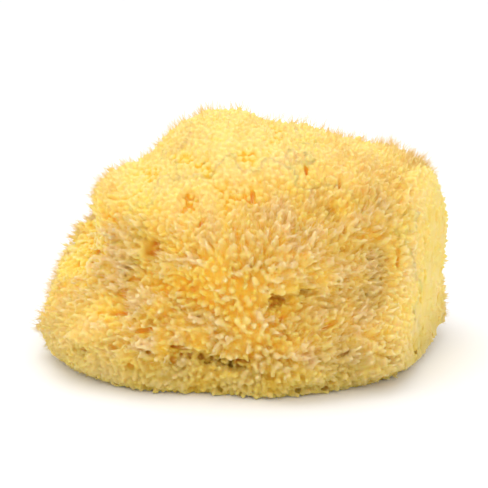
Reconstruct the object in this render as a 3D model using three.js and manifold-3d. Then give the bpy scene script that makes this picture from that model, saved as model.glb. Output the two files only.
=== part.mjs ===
// A natural wool bath sponge: one grown body, trimmed flat underneath and down its right-hand side.
// Millimetres, +Z up, +X to the right, -Y to the front. The origin is under the middle, on the flat base.
import * as THREE from "three";
import { ImprovedNoise } from "three/addons/math/ImprovedNoise.js";
import { mergeVertices } from "three/addons/utils/BufferGeometryUtils.js";
import Module from "manifold-3d";

const wasm = await Module();
wasm.setup();

// Driving dimensions.
const CORE = new THREE.Vector3(0, 2, 30); // every point of the skin can be seen from here
const FARTHEST = 110; // no skin lies this far from the core
const NEAREST = 8; // nor this close
const SKIN_DETAIL = 16; // divisions of each icosahedron edge, less one
const BLEND = 5; // how softly the lobes run together

// The lobes that the sponge grew as: centre and half sizes.
const LOBES = [
  { name: "left foot", centre: [-34, 2, 11], half: [31, 36, 23] },
  { name: "left shoulder", centre: [-25, 4, 38], half: [27, 33, 26] },
  { name: "crown", centre: [-3, 6, 54], half: [25, 31, 29] },
  { name: "right crown", centre: [20, 8, 47], half: [28, 33, 28] },
  { name: "right shoulder", centre: [42, 13, 43], half: [28, 31, 27] },
  { name: "right foot", centre: [37, 6, 11], half: [35, 41, 25] },
  { name: "front apron", centre: [2, -12, 11], half: [49, 37, 24] },
  { name: "brow", centre: [8, -12, 40], half: [32, 30, 21] },
  { name: "back", centre: [2, 14, 28], half: [54, 35, 39] },
];

// Uneven growth that keeps the lobes from looking turned: how far apart the swells are, and how high.
const SWELLS = [
  { spacing: 24, height: 3.2 },
  { spacing: 11, height: 1.6 },
];

// The two flats left by the knife.
const BLOCK = 400; // a block much larger than the sponge
const SIDE_CUT = { x: 65.5, turn: 19 }; // where the side cut crosses the X axis, and its turn to the front
const BASE_LEVEL = 0;

// Pores: where each opens, as a compass turn from the front towards the right and a height, then its
// width, height and depth.
const PORE_DETAIL = 2;
const PORES = [
  { turn: 19, level: 31, size: [6, 4, 9] },
  { turn: 30, level: 33, size: [8, 4, 10] },
  { turn: 45, level: 45, size: [8, 4, 9] },
  { turn: 52, level: 54, size: [4, 4, 8] },
  { turn: -40, level: 43, size: [5, 5, 9] },
  { turn: -27, level: 60, size: [7, 5, 8] },
  { turn: -62, level: 18, size: [5, 4, 7] },
  { turn: 118, level: 60, size: [6, 6, 10] },
  { turn: 150, level: 34, size: [7, 6, 10] },
  { turn: 186, level: 52, size: [8, 6, 11] },
  { turn: 214, level: 25, size: [6, 5, 9] },
  { turn: 244, level: 42, size: [7, 6, 10] },
];

// The long channel low on the front, left where the trimmed skin laps over.
const CHANNEL = { centre: [-8, -46, 12.5], half: [12.5, 7, 2], tilt: 10 };

const WOOL_YELLOW = 0xf0c46c;
const growth = new ImprovedNoise();

// A closed geometry as a manifold-3d solid.
function solidOf(geometry) {
  const bare = geometry.clone();
  bare.deleteAttribute("normal");
  bare.deleteAttribute("uv");
  const merged = mergeVertices(bare, 1e-4);
  return new wasm.Manifold(
    new wasm.Mesh({
      numProp: 3,
      vertProperties: merged.attributes.position.array,
      triVerts: new Uint32Array(merged.index.array),
    }),
  );
}

// A manifold-3d solid as a geometry.
function geometryOf(solid) {
  const mesh = solid.getMesh();
  const geometry = new THREE.BufferGeometry();
  geometry.setAttribute("position", new THREE.BufferAttribute(mesh.vertProperties, 3));
  geometry.setIndex(new THREE.BufferAttribute(mesh.triVerts, 1));
  geometry.computeVertexNormals();
  return geometry;
}

// Roughly how far a point lies outside one lobe.
function outsideLobe(point, { centre, half }) {
  const reach = Math.hypot(
    (point.x - centre[0]) / half[0],
    (point.y - centre[1]) / half[1],
    (point.z - centre[2]) / half[2],
  );
  return (reach - 1) * Math.min(...half);
}

// How far uneven growth has pushed the skin out at a point.
function swellAt(point) {
  let height = 0;
  for (const swell of SWELLS) {
    const at = point.clone().divideScalar(swell.spacing);
    height += swell.height * growth.noise(at.x, at.y, at.z);
  }
  return height;
}

// Roughly how far a point lies outside the grown body.
function outside(point) {
  let sum = 0;
  for (const lobe of LOBES) sum += Math.exp(-outsideLobe(point, lobe) / BLEND);
  return -BLEND * Math.log(sum) - swellAt(point);
}

// Where a ray from a start point last leaves the body.
function skinPoint(start, direction) {
  const at = (reach) => start.clone().addScaledVector(direction, reach);
  let inner = FARTHEST;
  while (inner > NEAREST && outside(at(inner)) > 0) inner -= 1;
  let outer = inner + 1;
  for (let step = 0; step < 16; step += 1) {
    const middle = (inner + outer) / 2;
    if (outside(at(middle)) > 0) outer = middle;
    else inner = middle;
  }
  return at(outer);
}

// The grown body before any trimming.
function grownBody() {
  const ball = new THREE.IcosahedronGeometry(1, SKIN_DETAIL);
  const place = ball.attributes.position;
  for (let i = 0; i < place.count; i += 1) {
    const direction = new THREE.Vector3().fromBufferAttribute(place, i).normalize();
    const skin = skinPoint(CORE, direction);
    place.setXYZ(i, skin.x, skin.y, skin.z);
  }
  return solidOf(ball);
}

// What the knife takes off below the base.
function belowBase() {
  const block = new THREE.BoxGeometry(BLOCK, BLOCK, BLOCK);
  block.translate(0, 0, BASE_LEVEL - BLOCK / 2);
  return solidOf(block);
}

// What the knife takes off at the right.
function beyondSideCut() {
  const block = new THREE.BoxGeometry(BLOCK, BLOCK, BLOCK);
  block.translate(BLOCK / 2, 0, 0);
  block.rotateZ(-THREE.MathUtils.degToRad(SIDE_CUT.turn));
  block.translate(SIDE_CUT.x, 0, 0);
  return solidOf(block);
}

// One pore: an egg-shaped hollow pointing in from the skin.
function pore({ turn, level, size }) {
  const heading = THREE.MathUtils.degToRad(turn);
  const outward = new THREE.Vector3(Math.sin(heading), -Math.cos(heading), 0);
  const start = new THREE.Vector3(CORE.x, CORE.y, level);
  const mouth = skinPoint(start, outward);
  const hollow = new THREE.IcosahedronGeometry(1, PORE_DETAIL);
  hollow.scale(size[0] / 2, size[2], size[1] / 2);
  hollow.rotateZ(heading);
  hollow.translate(mouth.x, mouth.y, mouth.z);
  return solidOf(hollow);
}

// The channel low on the front.
function channel() {
  const hollow = new THREE.IcosahedronGeometry(1, PORE_DETAIL + 1);
  hollow.scale(...CHANNEL.half);
  hollow.rotateY(THREE.MathUtils.degToRad(CHANNEL.tilt));
  hollow.translate(...CHANNEL.centre);
  return solidOf(hollow);
}

// The trimmed and pitted body, moved so that the origin is under the middle of its box.
function spongeGeometry() {
  let body = grownBody().subtract(belowBase()).subtract(beyondSideCut());
  for (const each of PORES) body = body.subtract(pore(each));
  const geometry = geometryOf(body.subtract(channel()));
  geometry.computeBoundingBox();
  const middle = geometry.boundingBox.getCenter(new THREE.Vector3());
  return geometry.translate(-middle.x, -middle.y, -BASE_LEVEL);
}

const wool = new THREE.MeshStandardMaterial({ color: WOOL_YELLOW, roughness: 0.9, metalness: 0 });
const sponge = new THREE.Mesh(spongeGeometry(), wool);
sponge.name = "sponge";

const part = new THREE.Group();
part.add(sponge);

export default part;
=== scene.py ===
"""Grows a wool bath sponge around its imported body: a pitted, tufted skin, loose strands and a studio."""

import functools
import math

import bpy
import numpy as np
import openvdb
from bpy.props import (
    FloatProperty,
    FloatVectorProperty,
    IntProperty,
    PointerProperty,
)
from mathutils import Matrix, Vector
from mathutils.kdtree import KDTree


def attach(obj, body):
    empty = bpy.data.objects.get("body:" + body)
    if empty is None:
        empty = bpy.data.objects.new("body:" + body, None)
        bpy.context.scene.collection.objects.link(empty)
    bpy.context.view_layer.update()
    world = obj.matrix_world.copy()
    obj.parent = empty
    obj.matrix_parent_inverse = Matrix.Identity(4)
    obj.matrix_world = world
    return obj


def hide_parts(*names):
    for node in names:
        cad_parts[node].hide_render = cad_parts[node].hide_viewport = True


bl_info = {
    "name": "Wool Sponge Grower",
    "version": (1, 0, 0),
    "blender": (4, 5, 0),
    "location": "View3D > Sidebar > Sponge",
    "description": "Grows the tufted skin and loose strands of a wool bath sponge around its packed body",
    "category": "Add Mesh",
}

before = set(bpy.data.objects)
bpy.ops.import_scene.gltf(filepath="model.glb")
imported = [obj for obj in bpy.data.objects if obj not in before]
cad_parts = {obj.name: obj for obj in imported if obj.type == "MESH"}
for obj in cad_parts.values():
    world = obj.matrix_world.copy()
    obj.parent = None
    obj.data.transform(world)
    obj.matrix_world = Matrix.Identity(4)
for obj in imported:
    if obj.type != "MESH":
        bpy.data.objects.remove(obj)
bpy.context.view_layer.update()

MM = 0.001
NODE = "sponge"
BODY = "root"


# ---------------------------------------------------------------- settings


class SpongeSizes(bpy.types.PropertyGroup):
    """How finely and how shaggily the sponge grows."""

    seed: IntProperty(name="Seed", description="Another number grows another sponge", default=7)
    cell: FloatProperty(
        name="Cell",
        description="Side of the cubes that the skin is worked out on",
        default=0.48 * MM,
        unit="LENGTH",
    )
    thinning: FloatProperty(
        name="Thinning",
        description="How freely triangles are joined where the skin is flat",
        default=0.45,
    )
    tuft_spacing: FloatProperty(
        name="Tuft spacing",
        description="Least distance between two tufts",
        default=2.1 * MM,
        unit="LENGTH",
    )
    tuft_length: FloatProperty(
        name="Tuft length",
        description="How far a full-grown tuft stands out of the skin",
        default=4.5 * MM,
        unit="LENGTH",
    )
    tuft_width: FloatProperty(
        name="Tuft width",
        description="Width of a tuft's head",
        default=1.9 * MM,
        unit="LENGTH",
    )
    strands: IntProperty(
        name="Strands", description="Loose strands over the whole sponge", default=30000, min=1
    )
    strand_length: FloatProperty(
        name="Strand length",
        description="Length of a middling loose strand",
        default=3.4 * MM,
        unit="LENGTH",
    )
    strand_width: FloatProperty(
        name="Strand width",
        description="Width of a loose strand at its root",
        default=0.15 * MM,
        unit="LENGTH",
    )


class SpongeColours(bpy.types.PropertyGroup):
    """The wool's colours, from its tips to the bottom of its pores; the pale tips are partly a painted
    highlight, and the crevices, pores and base are partly painted shade.
    """

    # The paler tips are partly the wool's own colour and partly a painted highlight.
    tip: FloatVectorProperty(
        name="Tip",
        description="Bleached ends of the tufts",
        subtype="COLOR",
        default=(0.92, 0.65, 0.32),
    )
    wool: FloatVectorProperty(
        name="Wool",
        description="Sides of the tufts",
        subtype="COLOR",
        default=(0.91, 0.66, 0.16),
    )
    # Painted shade: the crevices' deeper gold stands in for the shade and the light soaked deep into the
    # wool between the tufts.
    root: FloatVectorProperty(
        name="Root",
        description="Crevices between the tufts",
        subtype="COLOR",
        default=(0.90, 0.54, 0.055),
    )
    # Painted shade: the orange deep in the pores stands in for the shade inside them.
    pore: FloatVectorProperty(
        name="Pore",
        description="Deep inside the pores",
        subtype="COLOR",
        default=(0.95, 0.47, 0.06),
    )
    # Partly painted shade near the floor and partly the wool's duller colour low down.
    low_tint: FloatVectorProperty(
        name="Low tint",
        description="Multiplies the colours near the base, where the wool is duller",
        subtype="COLOR",
        default=(0.70, 0.73, 0.78),
    )


class SpongeStudio(bpy.types.PropertyGroup):
    """The camera and the lights."""

    elevation: FloatProperty(
        name="Elevation",
        description="How far above the horizon the camera stands",
        default=math.radians(15),
        unit="ROTATION",
    )
    distance: FloatProperty(
        name="Distance",
        description="From the camera to the middle of the sponge",
        default=650 * MM,
        unit="LENGTH",
    )
    field_width: FloatProperty(
        name="Field width",
        description="How wide a stretch the camera sees at that distance",
        default=166.5 * MM,
        unit="LENGTH",
    )
    overhead: FloatProperty(
        name="Overhead light",
        description="Power of the soft light above the sponge",
        default=1.6,
        unit="POWER",
    )
    fill: FloatProperty(
        name="Front light",
        description="Power of the soft light in front of the sponge",
        default=2.8,
        unit="POWER",
    )
    surround: FloatProperty(
        name="Surround", description="Brightness of the white surround", default=1.0
    )


# ------------------------------------------------------- distance fields


class Grid:
    """A block of cubic cells, in metres, and what is sampled on it."""

    def __init__(self, low, high, cell):
        self.cell = cell
        self.first = np.floor(np.asarray(low) / cell).astype(int)
        self.shape = tuple(np.ceil(np.asarray(high) / cell).astype(int) - self.first + 1)
        self.axes = [
            ((first + np.arange(count)) * cell).astype(np.float32)
            for first, count in zip(self.first, self.shape)
        ]

    def sample(self, field, points):
        """The field's value at each point, blended from the eight cells round it."""
        at = points / self.cell - self.first
        at = np.clip(at, 0, np.array(self.shape) - 1.001)
        base = np.floor(at).astype(int)
        part = at - base
        total = np.zeros(len(points))
        for corner in np.ndindex(2, 2, 2):
            share = np.prod(np.where(corner, part, 1 - part), axis=1)
            total += share * field[tuple((base + corner).T)]
        return total

    def slope(self, field, points):
        """The unit direction in which the field rises fastest at each point."""
        steps = np.eye(3) * self.cell
        rise = [self.sample(field, points + s) - self.sample(field, points - s) for s in steps]
        return unit(np.stack(rise, axis=1))

    def swells(self, rng, spacing, waves=24):
        """A smooth random field whose crests are about spacing apart; its values are mostly within 1."""
        total = np.zeros(self.shape, np.float32)
        for _ in range(waves):
            turns = 2 * math.pi / spacing * rng.uniform(0.7, 1.3)
            heading = unit(rng.normal(size=(1, 3)))[0] * turns
            phase = rng.uniform(0, 2 * math.pi)
            along_x, along_y, along_z = (np.exp(1j * k * a) for k, a in zip(heading, self.axes))
            sheet = np.exp(1j * phase) * along_x[:, None] * along_y[None, :]
            total += sheet.real.astype(np.float32)[:, :, None] * along_z.real.astype(np.float32)
            total -= sheet.imag.astype(np.float32)[:, :, None] * along_z.imag.astype(np.float32)
        return total * np.float32(1 / math.sqrt(waves))

    def softened(self, field, reach):
        """The field blurred over a distance."""
        wave = [np.fft.fftfreq(n, self.cell) for n in self.shape[:2]]
        wave.append(np.fft.rfftfreq(self.shape[2], self.cell))
        fade = [np.exp(-2 * (math.pi * reach * w) ** 2) for w in wave]
        kept = np.fft.rfftn(field)
        kept *= fade[0][:, None, None] * fade[1][None, :, None] * fade[2][None, None, :]
        return np.fft.irfftn(kept, self.shape).astype(np.float32)

    def stamp(self, field, start, end, width_start, width_end, blend, carve=False):
        """Joins a tapering rod to the solid inside a field, or carves it out."""
        widest = max(width_start, width_end) / 2 + 2 * blend + self.cell
        low = np.floor((np.minimum(start, end) - widest) / self.cell).astype(int) - self.first
        high = np.ceil((np.maximum(start, end) + widest) / self.cell).astype(int) - self.first + 1
        low = np.maximum(low, 0)
        high = np.minimum(high, self.shape)
        if (high <= low).any():
            return
        window = tuple(slice(a, b) for a, b in zip(low, high))
        x, y, z = (axis[s] for axis, s in zip(self.axes, window))
        x = (x - start[0])[:, None, None]
        y = (y - start[1])[None, :, None]
        z = (z - start[2])[None, None, :]
        rod = end - start
        along = np.clip((x * rod[0] + y * rod[1] + z * rod[2]) / (rod @ rod), 0, 1)
        away = np.sqrt((x - along * rod[0]) ** 2 + (y - along * rod[1]) ** 2 + (z - along * rod[2]) ** 2)
        away -= (width_start + (width_end - width_start) * along) / 2
        if carve:
            away = -away
        here = field[window]
        near = np.maximum(blend - np.abs(here - away), 0)
        if carve:
            field[window] = np.maximum(here, away) + near**2 / (4 * blend)
        else:
            field[window] = np.minimum(here, away) - near**2 / (4 * blend)

    def in_cells(self, field):
        """The field as a volume one unit to a cell, which is what surfaces are taken from."""
        volume = openvdb.FloatGrid(1.0)
        volume.copyFromArray(np.ascontiguousarray(field / self.cell, np.float32))
        return volume

    def surface_points(self, field):
        """Evenly spread points of the surface where the field is zero."""
        points, _ = self.in_cells(field).convertToQuads(0.0)
        return (points + self.first) * self.cell

    def surface(self, field, thinning):
        """The same surface as corners and triangles, with fewer of them where it is flat."""
        points, triangles, quads = self.in_cells(field).convertToPolygons(0.0, thinning)
        faces = np.concatenate([triangles, quads[:, [0, 1, 2]], quads[:, [0, 2, 3]]])
        return (points + self.first) * self.cell, faces.astype(int)


def unit(vectors):
    """The vectors at length one."""
    return vectors / np.maximum(np.linalg.norm(vectors, axis=1, keepdims=True), 1e-12)


def ease(value, low, high):
    """0 below low, 1 above high and smooth between."""
    t = np.clip((value - low) / (high - low), 0, 1)
    return t * t * (3 - 2 * t)


def spread_points(points, rng, spacing):
    """Numbers of points picked at random, none closer to an earlier one than the spacing there."""
    tree = KDTree(len(points))
    for i, p in enumerate(points):
        tree.insert(p, i)
    tree.balance()
    free = np.ones(len(points), bool)
    picked = []
    for i in rng.permutation(len(points)):
        if not free[i]:
            continue
        picked.append(i)
        for _, j, _ in tree.find_range(points[i], spacing[i]):
            free[j] = False
    return np.array(picked)


def cad_triangles():
    """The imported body's corners and triangles."""
    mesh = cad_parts[NODE].data
    mesh.calc_loop_triangles()
    corners = np.empty(len(mesh.vertices) * 3, np.float32)
    mesh.vertices.foreach_get("co", corners)
    triangles = np.empty(len(mesh.loop_triangles) * 3, np.int32)
    mesh.loop_triangles.foreach_get("vertices", triangles)
    corners, same = np.unique(corners.reshape(-1, 3).round(7), axis=0, return_inverse=True)
    return corners, same.reshape(-1)[triangles].reshape(-1, 3)


def largest_flats(corners, triangles, count):
    """The outward normal and offset of the body's largest flat faces."""
    a, b, c = (corners[triangles[:, i]].astype(float) for i in range(3))
    cross = np.cross(b - a, c - a)
    area = np.linalg.norm(cross, axis=1)
    real = area > 1e-10
    normal = cross[real] / area[real, None]
    offset = (normal * a[real]).sum(1)
    keys = np.round(np.column_stack([normal * 100, offset / (0.2 * MM)])).astype(int)
    groups, which = np.unique(keys, axis=0, return_inverse=True)
    total = np.bincount(which.reshape(-1), area[real])
    flats = []
    for group in np.argsort(-total)[:count]:
        mine = which.reshape(-1) == group
        share = area[real][mine] / total[group]
        flats.append((share @ normal[mine], float(share @ offset[mine])))
    return flats


# ------------------------------------------------------------- growth

# Folds in the front of the sponge: where each runs, as across and up, how wide it is and how far it
# stands out, all in mm.
FOLDS = (
    {"name": "valley", "run": ((-33, 58), (-24, 48), (-14, 40), (10, 31)), "width": 9, "height": -1.4},
    {"name": "ledge", "run": ((-20, 52), (2, 52), (20, 50)), "width": 7, "height": 1.4},
    {"name": "left hollow", "run": ((-42, 24), (-37, 25)), "width": 7, "height": -1.8},
    {"name": "left lock", "run": ((-36, 33), (-24, 28)), "width": 6, "height": 1.4},
    {"name": "right hollow", "run": ((52, 17), (58, 18)), "width": 8, "height": -2.0},
    {"name": "middle hollow", "run": ((-26, 34), (-14, 36)), "width": 7, "height": -1.2},
    {"name": "brow hollow", "run": ((26, 60), (30, 50)), "width": 6, "height": -1.4},
    {"name": "shoulder hollow", "run": ((42, 46), (46, 36)), "width": 8, "height": -1.2},
    {"name": "shoulder round", "run": ((46, 78), (58, 72), (70, 60)), "width": 13, "height": -7.0},
    {"name": "left foot", "run": ((-70, 30), (-74, 8)), "width": 13, "height": -2.2},
    {"name": "notch", "run": ((-72, 40), (-54, 43)), "width": 12, "height": -11},
)

# Slits between the locks on the front: across and up in mm, the turn from level in degrees, and the length.
SLITS = (
    (29, 23, 30, 5),
    (34, 52, 80, 4),
    (41, 57, 60, 4),
    (22, 69, 85, 4),
    (4, 61, 80, 3),
    (33, 64, 75, 4),
    (52, 40, 85, 5),
    (14, 26, 35, 4),
    (-37, 31, 5, 5),
    (-39, 24, 0, 6),
    (-31, 21, 10, 5),
    (-20, 16, -10, 5),
    (-48, 38, 20, 4),
    (-12, 55, 60, 3),
    (-8, 14, -8, 22),
)
SLIT_WIDTH = 1.2 * MM
SLIT_BLEND = 0.8 * MM
# How deep each cut of a slit goes. They are made one after another, from outside the tufts in.
SLIT_STEPS = (-4.0 * MM, -3.0 * MM, -2.0 * MM, -1.0 * MM, 0.0, 0.8 * MM)

# Pits on the side cut and near the base: how far apart they are and how tall. Their widths are in mm.
SIDE_PITS = {"spacing": 7.5 * MM, "rise": 3.0 * MM}
LOW_PITS = {"spacing": 8 * MM, "rise": 0.3 * MM}
PIT_WIDTHS = (1.2, 2.8)
PIT_BLEND = 1.0 * MM

# Tufts are small fans of rods that run together.
TUFT_RODS = (3, 5)  # fewest and most in a fan
TUFT_FAN = 0.26  # how widely they spread
TUFT_BLEND = 0.75 * MM  # how softly they run together
SHORTEST_TUFT = 0.3 * MM  # anything shorter is left out

# The sponge is made in parts that meet along wandering lines: the front, and three behind it.
QUARTERS = ("front", "left", "middle", "right")
FRONT_REACH = -19 * MM  # how far back the front part goes
MIDDLE_HALF = 20 * MM  # half the width of the middle part


class Growth:
    """The fields and tufts that every piece of the sponge is made from."""

    edge = 7 * MM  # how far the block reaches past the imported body
    soften = 0.9 * MM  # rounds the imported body's facets
    close = 3.2 * MM  # blurs the pores shut, to tell how deep a place lies
    round = 5 * MM  # rounds the front edge of the side cut
    pore_depth = 1.9 * MM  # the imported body's pores are kept no deeper than this
    foot = (58 * MM, 46 * MM)  # half the width and the depth of the front of the foot
    proud = 2.8 * MM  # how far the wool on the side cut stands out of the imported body
    top = (42 * MM, 66 * MM)  # the wool turns short and even between these heights
    parting = 34 * MM  # how far to each side of the middle the wool comes to lie over

    def __init__(self, size):
        self.size = size
        self.rng = np.random.default_rng(size["seed"])
        corners, triangles = cad_triangles()
        self.base, self.side = largest_flats(corners, triangles, 2)
        self.grid = Grid(corners.min(0) - self.edge, corners.max(0) + self.edge, size["cell"])
        away = self.away_from_flats()
        calm = ease(self.grid.axes[2], *self.top).astype(np.float32)
        self.shape_skin(self.distance_to(corners, triangles), away, calm)
        self.drift = self.grid.swells(self.rng, 12 * MM)
        self.curls = [self.grid.swells(self.rng, 5 * MM) for _ in range(3)]
        self.surface = self.grid.surface_points(self.skin)
        self.place_tufts()
        self.field = self.skin.copy()
        self.raise_tufts()
        rough = away * (1 - 0.75 * calm)
        self.field += 0.14 * MM * self.grid.swells(self.rng, 2.6 * MM) * rough
        self.field += 0.07 * MM * self.grid.swells(self.rng, 1.6 * MM)
        self.carve_pits()
        self.cut_slits()
        self.trim()

    def shape_skin(self, bare, away, calm):
        """Works out the surface that the tufts stand on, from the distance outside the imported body."""
        self.hull = self.grid.softened(bare, self.close)
        self.skin = self.grid.softened(bare, self.soften)
        lumps = self.grid.swells(self.rng, 10 * MM)
        self.skin += away * ((1.1 + 0.3 * calm) * MM - (0.7 - 0.45 * calm) * MM * lumps)
        folded = away * self.folded()
        self.level = self.hull - folded
        self.skin = np.minimum(self.skin - folded, self.level + self.pore_depth)
        self.skin = away * self.skin + (1 - away) * self.hull
        front = ease(-self.grid.axes[1], -12 * MM, 6 * MM).astype(np.float32)[None, :, None]
        beside = front * self.near_side(2 * MM, 11 * MM)
        self.skin = (1 - beside) * self.skin + beside * self.grid.softened(bare, self.round)
        self.skin -= self.proud * self.near_side(8 * MM, 40 * MM)
        self.skin = np.maximum(self.skin, self.footprint())

    def beyond(self, flat):
        """How far each place lies outside a flat's plane, on the grid."""
        x, y, z = self.grid.axes
        normal, offset = flat
        along = x[:, None, None] * normal[0] + y[None, :, None] * normal[1] + z[None, None, :] * normal[2]
        return along - offset

    def near_side(self, near, far):
        """1 on the side cut, falling to 0 between two distances from it, on the grid."""
        return 1 - ease(-self.beyond(self.side), near, far).astype(np.float32)

    def footprint(self):
        """How far each place lies outside an oval foot that widens upwards, on the grid."""
        x, y, z = self.grid.axes
        half_x, half_y = self.foot
        oval = np.hypot(x[:, None] / half_x, (np.minimum(y, 0)[None, :]) / half_y) - 1
        rise = 1.1 * z + 8 * MM * ease(z, 4 * MM, 16 * MM)
        return (0.9 * half_y * oval[:, :, None] - rise[None, None, :]).astype(np.float32)

    def folded(self):
        """How far the front's folds push the skin out, on the grid."""
        x, y, z = self.grid.axes
        pushed = np.zeros((len(x), len(z)), np.float32)
        for fold in FOLDS:
            run = np.array(fold["run"]) * MM
            nearest = np.full(pushed.shape, np.inf, np.float32)
            for start, end in zip(run, run[1:]):
                rod = end - start
                across, up = x[:, None] - start[0], z[None, :] - start[1]
                along = np.clip((across * rod[0] + up * rod[1]) / (rod @ rod), 0, 1)
                nearest = np.minimum(nearest, np.hypot(across - along * rod[0], up - along * rod[1]))
            pushed += fold["height"] * MM * np.exp(-2 * (nearest / (fold["width"] * MM)) ** 2)
        front = ease(25 * MM - y, 0, 15 * MM).astype(np.float32)  # they fade out behind the middle
        return pushed[:, None, :] * front[None, :, None]

    def away_from_flats(self):
        """0 on the flats that the knife left, rising to 1 away from them, on the grid."""
        share = np.ones(self.grid.shape, np.float32)
        for flat, reach in ((self.base, 3 * MM), (self.side, 7 * MM)):
            share *= ease(-self.beyond(flat), 0, reach).astype(np.float32)
        return share

    def distance_to(self, corners, triangles):
        """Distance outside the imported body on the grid, cut off at the edge distance."""
        cell = self.grid.cell
        band = self.edge / cell
        volume = openvdb.FloatGrid.createLevelSetFromPolygons(
            (corners / cell).astype(np.float32),
            triangles=triangles.astype(np.uint32),
            halfWidth=band,
        )
        field = np.empty(self.grid.shape, np.float32)
        volume.copyToArray(field, ijk=tuple(int(i) for i in self.grid.first))
        return field * np.float32(cell)

    def off_flat(self, points, flat):
        """How far points lie outside a flat's plane."""
        normal, offset = flat
        return points @ normal - offset

    def combed(self, points):
        """Which way the wool is combed at each point: out to both sides, and up."""
        outward = np.tanh(points[:, 0] / self.parting)
        high = ease(points[:, 2], 30 * MM, 70 * MM)
        lift = 0.15 + 0.55 * ease(points[:, 0], -10 * MM, 40 * MM) + 0.8 * high
        return np.column_stack([1.7 * outward * (1 - 0.6 * high), np.zeros(len(points)), lift])

    def calm(self, points):
        """1 where the wool is short and even, on top and low at the left, and 0 elsewhere."""
        x, z = points[:, 0], points[:, 2]
        top = ease(z - 7 * MM * ease(x, -20 * MM, 15 * MM), *self.top)
        corner = 1 - ease(np.hypot(x + 58 * MM, z - 6 * MM), 12 * MM, 34 * MM)
        return np.maximum(top, 0.7 * corner)

    def vigour(self, points):
        """How freely the wool grows at each point: less near the base and on the side cut."""
        grown = 0.5 + 0.5 * ease(points[:, 2], 3 * MM, 15 * MM)
        beside = 1 - ease(self.proud - self.off_flat(points, self.side), 1 * MM, 9 * MM)
        return grown * (1 - beside * (0.3 + 0.4 * ease(points[:, 2], 10 * MM, 26 * MM)))

    def place_tufts(self):
        """Chooses where tufts stand on the skin, and how each one grows."""
        points = self.surface[self.off_flat(self.surface, self.base) < -0.5 * MM]
        rng = self.rng
        low = 1 - ease(points[:, 2], 5 * MM, 16 * MM)
        spacing = self.size["tuft_spacing"] * (1 - 0.2 * self.calm(points) - 0.25 * low)
        self.tufts = root = points[spread_points(points, rng, spacing)]
        count = len(root)
        calm = self.calm(root)
        self.normal = self.grid.slope(self.hull, root)
        curl = np.column_stack([self.grid.sample(c, root) for c in self.curls])
        self.heading = unit(self.normal + self.combed(root) + 0.2 * curl)
        depth = self.grid.sample(self.hull, root)
        grown = self.vigour(root) * (0.6 + 0.4 * ease(depth, -3.0 * MM, -1.0 * MM))
        grown *= 1 - 0.6 * calm
        puffed = 1 - np.abs(np.tanh(root[:, 0] / self.parting))
        self.length = self.size["tuft_length"] * grown * (1 - 0.25 * puffed) * rng.uniform(0.5, 1.25, count)
        self.width = self.size["tuft_width"] * (1 + 0.3 * puffed) * rng.uniform(0.7, 1.2, count)
        self.blunt = 0.35 + 0.1 * puffed * (1 - calm)

    def carve_pits(self):
        """Opens small pits low down, and upright ones on the side cut."""
        rng = self.rng
        points = self.surface
        beside = np.abs(self.off_flat(points, self.side) - self.proud) < 0.6 * MM
        low = (points[:, 2] > 1.5 * MM) & (points[:, 2] < 15 * MM) & ~beside
        for where, pits in ((beside, SIDE_PITS), (low, LOW_PITS)):
            near = points[where]
            near = near[spread_points(near, rng, np.full(len(near), pits["spacing"]))]
            inward = -self.grid.slope(self.hull, near)
            for mouth, way in zip(near, inward):
                width = rng.uniform(*PIT_WIDTHS) * MM
                up = np.array([0, 0, 1.0]) * pits["rise"] * rng.uniform(0.1, 1.2)
                up = up + 0.3 * MM * rng.normal(size=3)
                deep = mouth - way * rng.uniform(-0.2, 0.3) * width
                self.grid.stamp(self.field, deep - up, deep + up, width, 0.8 * width, PIT_BLEND, True)

    def cut_slits(self):
        """Opens the slits between the locks on the front."""
        front = self.surface[self.surface[:, 1] < 0]
        for across, up, turn, length in SLITS:
            mouth = front[np.hypot(front[:, 0] - across * MM, front[:, 2] - up * MM).argmin()]
            inward = unit(np.array([[0, 1.5, 0]]) - self.grid.slope(self.hull, mouth[None]))[0]
            turn = math.radians(turn)
            along = length * MM / 2 * np.array([math.cos(turn), 0, math.sin(turn)])
            for step in SLIT_STEPS:
                start = mouth + step * inward - along
                end = mouth + step * inward + along
                self.grid.stamp(self.field, start, end, 0.7 * SLIT_WIDTH, SLIT_WIDTH, SLIT_BLEND, True)

    def raise_tufts(self):
        """Joins each tuft to the skin, and keeps where each of its rods lies and points."""
        rng = self.rng
        self.rods = []
        for root, normal, heading, length, width, blunt in zip(
            self.tufts, self.normal, self.heading, self.length, self.width, self.blunt
        ):
            if length < SHORTEST_TUFT:
                self.rods.append((root, heading))
                continue
            foot = root - normal * MM
            for _ in range(rng.integers(TUFT_RODS[0], TUFT_RODS[1] + 1)):
                way = heading + TUFT_FAN * rng.normal(size=3)
                top = root + way * max(length * rng.uniform(0.6, 1.05) - 0.3 * width, 0)
                wide, narrow = (1.2 - 0.6 * blunt) * width, blunt * width
                self.grid.stamp(self.field, foot, top, wide, narrow, TUFT_BLEND)
                self.rods.append((0.3 * root + 0.7 * top, way))

    @functools.cached_property
    def lock_tree(self):
        """Finds the rod nearest to a place."""
        tree = KDTree(len(self.rods))
        for number, (place, _) in enumerate(self.rods):
            tree.insert(place, number)
        tree.balance()
        return tree

    def nearest_locks(self, points):
        """The number, place and way of the lock that each point belongs to."""
        number = np.array([self.lock_tree.find(point)[1] for point in points])
        places, ways = (np.array(part) for part in zip(*self.rods))
        return number, places[number], unit(ways)[number]

    def quarter(self, points):
        """The number of the part that each point belongs to."""
        wander = 4 * MM * self.grid.sample(self.drift, points)
        side = np.where(points[:, 0] + wander < -MIDDLE_HALF, 1, 2)
        side[points[:, 0] + wander > MIDDLE_HALF] = 3
        side[points[:, 1] + wander < FRONT_REACH] = 0
        return side

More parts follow.
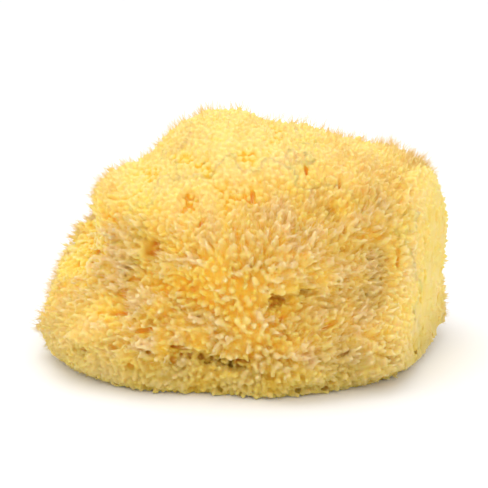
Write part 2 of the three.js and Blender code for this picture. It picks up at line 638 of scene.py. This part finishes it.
    def trim(self):
        """Cuts the skin flat again at the base, and nearly flat at the side."""
        beside = self.beyond(self.side) - (self.proud + 1.2 * MM)
        beside += 0.6 * MM * (1 + self.grid.swells(self.rng, 7 * MM))
        for off in (self.beyond(self.base), beside):
            np.maximum(self.field, off.astype(np.float32), out=self.field)

    @functools.cached_property
    def tone(self):
        """How much darker or paler the wool grew, on the grid: large patches and small ones."""
        rng = np.random.default_rng(self.size["seed"] + 1)
        return 0.6 * self.grid.swells(rng, 14 * MM) + 0.5 * self.grid.swells(rng, 4 * MM)

    @functools.cached_property
    def body(self):
        """The skin's corners and triangles, without crumbs."""
        points, faces = self.grid.surface(self.field, self.size["thinning"])
        return largest_body(points, faces)


def largest_body(points, faces):
    """Only the connected surface with the most corners."""
    label = np.arange(len(points))
    a = faces.reshape(-1)
    b = np.roll(faces, -1, axis=1).reshape(-1)
    while True:
        lowest = label.copy()
        np.minimum.at(lowest, a, label[b])
        np.minimum.at(lowest, b, label[a])
        lowest = lowest[lowest]
        if (lowest == label).all():
            break
        label = lowest
    main = np.bincount(label).argmax()
    kept = label == main
    number = np.cumsum(kept) - 1
    return points[kept], number[faces[kept[faces].all(axis=1)]]


@functools.lru_cache(maxsize=1)
def grown(settings):
    """The growth for a set of sizes, worked out once."""
    return Growth(dict(settings))


def growth():
    """The growth for the sizes in the panel."""
    sizes = bpy.context.scene.sponge_sizes
    settings = {name: getattr(sizes, name) for name in SpongeSizes.__annotations__}
    return grown(tuple(sorted(settings.items())))


# ------------------------------------------------------------- meshes


def new_mesh_object(name, points, faces):
    """A smooth mesh object with these corners and faces."""
    mesh = bpy.data.meshes.new(name)
    faces = np.asarray(faces, np.int32)
    sides = faces.shape[1]
    mesh.vertices.add(len(points))
    mesh.vertices.foreach_set("co", np.asarray(points, np.float32).ravel())
    mesh.loops.add(faces.size)
    mesh.loops.foreach_set("vertex_index", faces.ravel())
    mesh.polygons.add(len(faces))
    mesh.polygons.foreach_set("loop_start", np.arange(0, faces.size, sides, dtype=np.int32))
    mesh.polygons.foreach_set("use_smooth", np.ones(len(faces), bool))
    mesh.update(calc_edges=True)
    mesh.validate()
    ob = bpy.data.objects.new(name, mesh)
    bpy.context.scene.collection.objects.link(ob)
    return ob


def set_attribute(ob, name, values):
    """Stores one number for each corner of the mesh."""
    layer = ob.data.attributes.new(name, "FLOAT", "POINT")
    layer.data.foreach_set("value", np.asarray(values, np.float32))


# ------------------------------------------------------------- materials

# How much of the light soaks into the skin and into the strands.
SKIN_GLOW = 0.85
STRAND_GLOW = 0.0
GLOW_REACH = 4.0 * MM  # how far the light spreads inside the wool
GLOW_RADIUS = (1.0, 0.65, 0.28)  # how much of that reach red, green and blue light have
SHEEN = 0.05  # hardly any light glances off

# How many flecks and fibres there are to a metre.
FLECK_SCALE = 1500.0
FIBRE_SCALE = 2600.0


class Wire:
    """A shader socket that arithmetic can be written with."""

    def __init__(self, tree, socket):
        self.tree = tree
        self.socket = socket

    def maths(self, operation, *values):
        """One step of arithmetic."""
        return add_node(self.tree, "ShaderNodeMath", {"operation": operation}, *values)

    def __add__(self, other):
        return self.maths("ADD", self, other)

    def __radd__(self, other):
        return self.maths("ADD", other, self)

    def __sub__(self, other):
        return self.maths("SUBTRACT", self, other)

    def __rsub__(self, other):
        return self.maths("SUBTRACT", other, self)

    def __mul__(self, other):
        return self.maths("MULTIPLY", self, other)

    def __rmul__(self, other):
        return self.maths("MULTIPLY", other, self)

    def between(self, low, high):
        """0 at low, 1 at high and clamped outside."""
        settings = {"clamp": True, "interpolation_type": "SMOOTHSTEP"}
        return add_node(self.tree, "ShaderNodeMapRange", settings, self, low, high)


def add_node(tree, kind, settings=None, *values, output=0, **named):
    """A node with its settings made first, then its sockets' values or links, by place or by name."""
    node = tree.nodes.new(kind)
    for name, value in (settings or {}).items():
        if name == "stops":
            fill_ramp(node.color_ramp, value)
        else:
            setattr(node, name, value)
    sockets = [(node.inputs[i], v) for i, v in enumerate(values)]
    shown = {socket.name: socket for socket in node.inputs if socket.enabled}
    sockets += [(shown[name.replace("_", " ")], v) for name, v in named.items()]
    for socket, value in sockets:
        if isinstance(value, Wire):
            tree.links.new(value.socket, socket)
        else:
            socket.default_value = value
    return Wire(tree, node.outputs[output])


def fill_ramp(ramp, stops):
    """Sets a colour ramp's stops: (place, colour) pairs."""
    while len(ramp.elements) > 1:
        ramp.elements.remove(ramp.elements[-1])
    for i, (place, colour) in enumerate(stops):
        element = ramp.elements[0] if i == 0 else ramp.elements.new(place)
        element.position = place
        element.color = (*colour, 1)


def new_material(name):
    """A material, its node tree and its main shader."""
    material = bpy.data.materials.new(name)
    material.use_nodes = True
    shader = next(n for n in material.node_tree.nodes if n.type == "BSDF_PRINCIPLED")
    return material, material.node_tree, shader


def stored(tree, name, output):
    """What the mesh stores under a name: output 2 is a number and output 1 a vector."""
    return add_node(tree, "ShaderNodeAttribute", {"attribute_name": name}, output=output)


def wool_material(name, glow):
    """Pale at the tips, golden between them and orange in the pores, partly painted shade and highlight;
    glow is how much light soaks in.
    """
    colours = bpy.context.scene.sponge_colours
    material, tree, shader = new_material(name)
    reach, tone, vary, pale = (stored(tree, mark, 2) for mark in ("reach", "tone", "vary", "pale"))
    place = add_node(tree, "ShaderNodeTexCoord", output=3)
    height = add_node(tree, "ShaderNodeSeparateXYZ", {}, place, output=2)
    grain = stored(tree, "grain", 1) if glow else place
    fleck = add_node(tree, "ShaderNodeTexNoise", {}, Vector=grain, Scale=FLECK_SCALE, Detail=3.0)
    fibre = add_node(tree, "ShaderNodeTexNoise", {}, Vector=grain, Scale=FIBRE_SCALE, Detail=2.0)
    streak = (fleck * 0.5 + fibre * 0.5 - 0.5) * vary
    shown = reach + streak * 1.1 + (tone - 0.5) * 0.24 + pale * 0.06
    # The ramp paints shade into the colour: lower reach, deeper in crevices, hollows and pits, gives the
    # darker golden and orange stops.
    stops = [
        (0.1, colours.pore),
        (0.42, colours.root),
        (0.66, colours.wool),
        (1.0, colours.tip),
    ]
    colour = add_node(tree, "ShaderNodeValToRGB", {"stops": [(p, tuple(c)) for p, c in stops]}, shown)
    # Colours are multiplied darker towards the base: partly painted shade where the floor shades the wool,
    # partly its duller colour there.
    low = 1 - height.between(2 * MM, 24 * MM)
    shaded = add_node(
        tree,
        "ShaderNodeMix",
        {"data_type": "RGBA", "blend_type": "MULTIPLY"},
        output=2,
        **{"Factor": low, "A": colour, "B": (*colours.low_tint, 1)},
    )
    tree.links.new(shaded.socket, shader.inputs["Base Color"])
    rough = 0.7 + 0.25 * fleck
    tree.links.new(rough.socket, shader.inputs["Roughness"])
    if glow:
        bump = add_node(tree, "ShaderNodeBump", {}, Strength=0.6, Distance=0.5 * MM, Height=streak)
        tree.links.new(bump.socket, shader.inputs["Normal"])
    shader.inputs["Subsurface Weight"].default_value = glow
    shader.inputs["Subsurface Radius"].default_value = GLOW_RADIUS
    shader.inputs["Subsurface Scale"].default_value = GLOW_REACH
    shader.inputs["Specular IOR Level"].default_value = SHEEN
    return material


def floor_material():
    """Plain, nearly white and dull."""
    material, _, shader = new_material("white_sweep")
    shader.inputs["Base Color"].default_value = (0.97, 0.97, 0.97, 1)
    shader.inputs["Roughness"].default_value = 0.6
    shader.inputs["Specular IOR Level"].default_value = 0.1
    return material


# ------------------------------------------------------------- operators

# Painted shade: no light soaks into the strands, so their deeper gold stands in for the warm shade that it
# would give.
STRAND_REACH = -0.22  # strands are coloured as if they reached less far out, and so are more golden


def dress(ob, material):
    """Gives a piece its material, and its place in the frame."""
    ob.data.materials.append(material)
    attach(ob, BODY)
    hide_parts(NODE)


def mark_grain(ob, growing, points):
    """Stores where each corner lies in its lock, squeezed along it so that patterns stretch that way."""
    number, place, way = growing.nearest_locks(points)
    off = points - place
    squeezed = off - 0.85 * way * (off * way).sum(1)[:, None]
    rng = np.random.default_rng(growing.size["seed"] + 3)
    squeezed += rng.uniform(0, 1, (len(growing.rods), 3))[number]
    layer = ob.data.attributes.new("grain", "FLOAT_VECTOR", "POINT")
    layer.data.foreach_set("vector", squeezed.astype(np.float32).ravel())


def mark_reach(ob, growing, points, added=0.0):
    """Stores how far each corner reaches out of the wool, how flecked it is there, and its tone; the reach
    paints shade into hollows and pits and a highlight onto the calm top.
    """
    stand = growing.grid.sample(growing.skin, points) / MM
    depth = growing.grid.sample(growing.hull, points) / MM
    level = growing.grid.sample(growing.level, points) / MM
    cut = ease(growing.off_flat(points, growing.side), -3 * MM, 1 * MM)
    # Painted shade and highlight: the reach is lower, so the colour more golden and orange, deeper in the
    # wool, in the folds' hollows and in pits, and higher, so paler, on what stands out.
    reach = 0.50 + added + 0.11 * stand + 0.04 * depth + 0.5 * np.minimum(level + 1.1, 0) + 0.1 * cut
    reach += 0.25 * np.minimum(stand + 0.3, 0)
    # Painted highlight: where the wool is calm, on top and low at the left, the colour is evened out
    # towards a pale level that rises with height.
    calm = growing.calm(points) * ease(level, -2.0, -0.8)
    # Paler towards the left.
    reach += 0.1 * ease(-points[:, 0], 25 * MM, 55 * MM)
    painted_top_highlight = 0.8 + 0.08 * ease(points[:, 2], 40 * MM, 62 * MM)
    set_attribute(ob, "reach", reach + 0.75 * calm * (painted_top_highlight - reach))
    set_attribute(ob, "vary", 1 - 0.8 * calm)
    tone = 0.5 + 0.35 * growing.grid.sample(growing.tone, points) * (1 - 0.6 * calm)
    set_attribute(ob, "tone", np.clip(tone, 0, 1))


class SPONGE_OT_grow_skin(bpy.types.Operator):
    """Grow the pitted and tufted skin"""

    bl_idname = "sponge.grow_skin"
    bl_label = "Grow Skin"

    def execute(self, context):
        growing = growth()
        points, faces = growing.body
        normals = growing.grid.slope(growing.field, points)
        side = growing.quarter(points[faces].mean(axis=1))
        material = wool_material("sponge_skin_wool", SKIN_GLOW)
        for number, name in enumerate(QUARTERS):
            used, small = np.unique(faces[side == number], return_inverse=True)
            ob = new_mesh_object("skin_" + name, points[used], small.reshape(-1, 3))
            ob.data.normals_split_custom_set_from_vertices(normals[used])
            mark_reach(ob, growing, points[used])
            set_attribute(ob, "pale", np.zeros(len(used)))
            mark_grain(ob, growing, points[used])
            dress(ob, material)
        return {"FINISHED"}


class SPONGE_OT_grow_strands(bpy.types.Operator):
    """Grow the loose strands on the tufts"""

    bl_idname = "sponge.grow_strands"
    bl_label = "Grow Strands"

    def execute(self, context):
        growing = growth()
        rng = np.random.default_rng(growing.size["seed"] + 2)
        start, bend, end = strand_lines(growing, *strand_roots(growing, rng), rng)
        pale = rng.uniform(0.2, 1.0, len(start))
        material = wool_material("sponge_strand_wool", STRAND_GLOW)
        side = growing.quarter(start)
        for number, name in enumerate(QUARTERS):
            mine = side == number
            points, faces, along = tubes(start[mine], bend[mine], end[mine], growing.size["strand_width"])
            points[:, 2] = np.maximum(points[:, 2], 0)
            ob = new_mesh_object("strands_" + name, points, faces)
            mark_reach(ob, growing, points, STRAND_REACH)
            each = len(points) // mine.sum()
            set_attribute(ob, "pale", np.repeat(pale[mine], each) * along)
            dress(ob, material)
        return {"FINISHED"}


def strand_roots(growing, rng):
    """Places on the skin picked at random, mostly well out on the tufts, and how deep each lies."""
    points, faces = growing.body
    corner = points[faces]
    area = np.linalg.norm(np.cross(corner[:, 1] - corner[:, 0], corner[:, 2] - corner[:, 0]), axis=1)
    middle = corner.mean(axis=1)
    depth = growing.grid.sample(growing.hull, middle)
    stand = growing.grid.sample(growing.skin, middle)
    chance = area * growing.vigour(middle) * (0.1 + ease(stand, 0.2 * MM, 1.6 * MM))
    chance *= ease(depth, -1.5 * MM, -0.5 * MM) * (1 - 0.3 * growing.calm(middle))
    chance *= middle[:, 2] > 1.0 * MM
    picked = rng.choice(len(faces), growing.size["strands"], p=chance / chance.sum())
    u, v = rng.uniform(0, 1, (2, len(picked), 1))
    folded = u + v > 1
    u, v = np.where(folded, 1 - u, u), np.where(folded, 1 - v, v)
    at = corner[picked]
    return at[:, 0] + u * (at[:, 1] - at[:, 0]) + v * (at[:, 2] - at[:, 0]), depth[picked]


def strand_lines(growing, root, depth, rng):
    """Where each strand starts, which way it is pulled and where it ends, following the lock it is on."""
    count = len(root)
    own = growing.grid.slope(growing.field, root)
    flow = growing.nearest_locks(root)[2] + 0.2 * rng.normal(size=(count, 3))
    rise = (flow * own).sum(1)[:, None]
    flow = unit(flow - np.where(rise < 0, 1.0, 0.4) * rise * own)
    length = growing.size["strand_length"] * growing.vigour(root) * rng.uniform(0.6, 1.3, count)
    length = (length * (0.6 + 0.4 * ease(depth, -1.0 * MM, 1.5 * MM)))[:, None]
    lift = 0.2 + 0.35 * growing.calm(root)[:, None]
    start = root - own * 0.12 * MM
    bend = root + (0.7 * lift * own + 0.45 * flow) * length
    bend += rng.normal(size=(count, 3)) * 0.08 * length
    end = root + (lift * own + 0.9 * flow) * length
    return start, bend, end


def tubes(starts, bends, ends, width, sides=3, rings=3):
    """Thin curved tubes that taper to a point: corners, triangles and how far along each corner is.

    The wide end is left open, since it lies inside the skin.
    """
    count = len(starts)
    t = np.linspace(0, 1, rings)[None, :, None]
    spine = (1 - t) ** 2 * starts[:, None] + 2 * t * (1 - t) * bends[:, None] + t**2 * ends[:, None]
    rod = unit(ends - starts)
    helper = np.where(np.abs(rod[:, 2:]) < 0.8, [[0.0, 0.0, 1.0]], [[1.0, 0.0, 0.0]])
    across = unit(np.cross(rod, helper))
    other = np.cross(rod, across)
    turn = np.arange(sides) * 2 * math.pi / sides
    ring = across[:, None] * np.cos(turn)[None, :, None] + other[:, None] * np.sin(turn)[None, :, None]
    radius = width / 2 * np.linspace(1.0, 0.7, rings - 1)
    body = spine[:, : rings - 1, None] + ring[:, None] * radius[None, :, None, None]
    points = np.concatenate([body.reshape(count, -1, 3), spine[:, -1:]], axis=1)
    faces = []
    for r in range(rings - 2):
        for s in range(sides):
            a, b = r * sides + s, r * sides + (s + 1) % sides
            faces += [(a, b, b + sides), (a, b + sides, a + sides)]
    last = (rings - 2) * sides
    tip = (rings - 1) * sides
    faces += [(last + s, last + (s + 1) % sides, tip) for s in range(sides)]
    faces = np.array(faces)[None] + (np.arange(count) * points.shape[1])[:, None, None]
    along = np.append(np.repeat(np.linspace(0, 1, rings)[:-1], sides), 1.0)
    return points.reshape(-1, 3), faces.reshape(-1, 3), np.tile(along, count)


FLOOR_HALF = 4.0  # half the side of the square floor, in metres
OVERHEAD_PLACE = (-0.15, 0.1, 0.8)
OVERHEAD_WIDTH = 0.7
FILL_PLACE = (-0.04, -1.0, 0.5)
FILL_WIDTH = 0.9
TARGET = Vector((1.4 * MM, 0, 39 * MM))  # what the camera looks at


class SPONGE_OT_build_studio(bpy.types.Operator):
    """Set up the floor, the soft lights and the camera"""

    bl_idname = "sponge.build_studio"
    bl_label = "Build Studio"

    def execute(self, context):
        studio = context.scene.sponge_studio
        context.scene.view_settings.view_transform = "Standard"
        self.add_floor()
        self.add_surround(studio)
        self.add_light("overhead", OVERHEAD_PLACE, OVERHEAD_WIDTH, studio.overhead)
        self.add_light("fill", FILL_PLACE, FILL_WIDTH, studio.fill)
        self.add_camera(studio)
        return {"FINISHED"}

    def add_floor(self):
        half = FLOOR_HALF
        corners = [(-half, -half, 0), (half, -half, 0), (half, half, 0), (-half, half, 0)]
        floor = new_mesh_object("floor", corners, [(0, 1, 2, 3)])
        floor.data.materials.append(floor_material())

    def add_surround(self, studio):
        world = bpy.data.worlds.new("surround")
        world.use_nodes = True
        background = next(n for n in world.node_tree.nodes if n.type == "BACKGROUND")
        background.inputs["Color"].default_value = (1, 1, 1, 1)
        background.inputs["Strength"].default_value = studio.surround
        bpy.context.scene.world = world

    def add_light(self, name, place, size, power):
        light = bpy.data.lights.new(name, "AREA")
        light.shape = "DISK"
        light.size = size
        light.energy = power
        ob = bpy.data.objects.new(name, light)
        ob.location = place
        ob.rotation_euler = (-ob.location).to_track_quat("-Z", "Y").to_euler()
        bpy.context.scene.collection.objects.link(ob)

    def add_camera(self, studio):
        back = Vector((0, -math.cos(studio.elevation), math.sin(studio.elevation)))
        camera = bpy.data.cameras.new("camera")
        camera.lens = camera.sensor_width * studio.distance / studio.field_width
        ob = bpy.data.objects.new("camera", camera)
        ob.location = TARGET + back * studio.distance
        ob.rotation_euler = (-back).to_track_quat("-Z", "Y").to_euler()
        bpy.context.scene.collection.objects.link(ob)
        bpy.context.scene.camera = ob


class SPONGE_PT_panel(bpy.types.Panel):
    """Lists the sponge's steps and settings"""

    bl_idname = "SPONGE_PT_panel"
    bl_label = "Wool Sponge"
    bl_space_type = "VIEW_3D"
    bl_region_type = "UI"
    bl_category = "Sponge"

    def draw(self, context):
        for group in (
            context.scene.sponge_sizes,
            context.scene.sponge_colours,
            context.scene.sponge_studio,
        ):
            box = self.layout.box()
            for name in type(group).__annotations__:
                box.prop(group, name)
        for step in STEPS:
            self.layout.operator(step.bl_idname)


STEPS = (SPONGE_OT_grow_skin, SPONGE_OT_grow_strands, SPONGE_OT_build_studio)
CLASSES = (SpongeSizes, SpongeColours, SpongeStudio, *STEPS, SPONGE_PT_panel)


def register():
    for each in CLASSES:
        bpy.utils.register_class(each)
    bpy.types.Scene.sponge_sizes = PointerProperty(type=SpongeSizes)
    bpy.types.Scene.sponge_colours = PointerProperty(type=SpongeColours)
    bpy.types.Scene.sponge_studio = PointerProperty(type=SpongeStudio)


def unregister():
    del bpy.types.Scene.sponge_studio
    del bpy.types.Scene.sponge_colours
    del bpy.types.Scene.sponge_sizes
    for each in reversed(CLASSES):
        bpy.utils.unregister_class(each)


def main():
    register()
    bpy.ops.sponge.grow_skin()
    bpy.ops.sponge.grow_strands()
    bpy.ops.sponge.build_studio()
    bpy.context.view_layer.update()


if __name__ == "__main__":
    main()
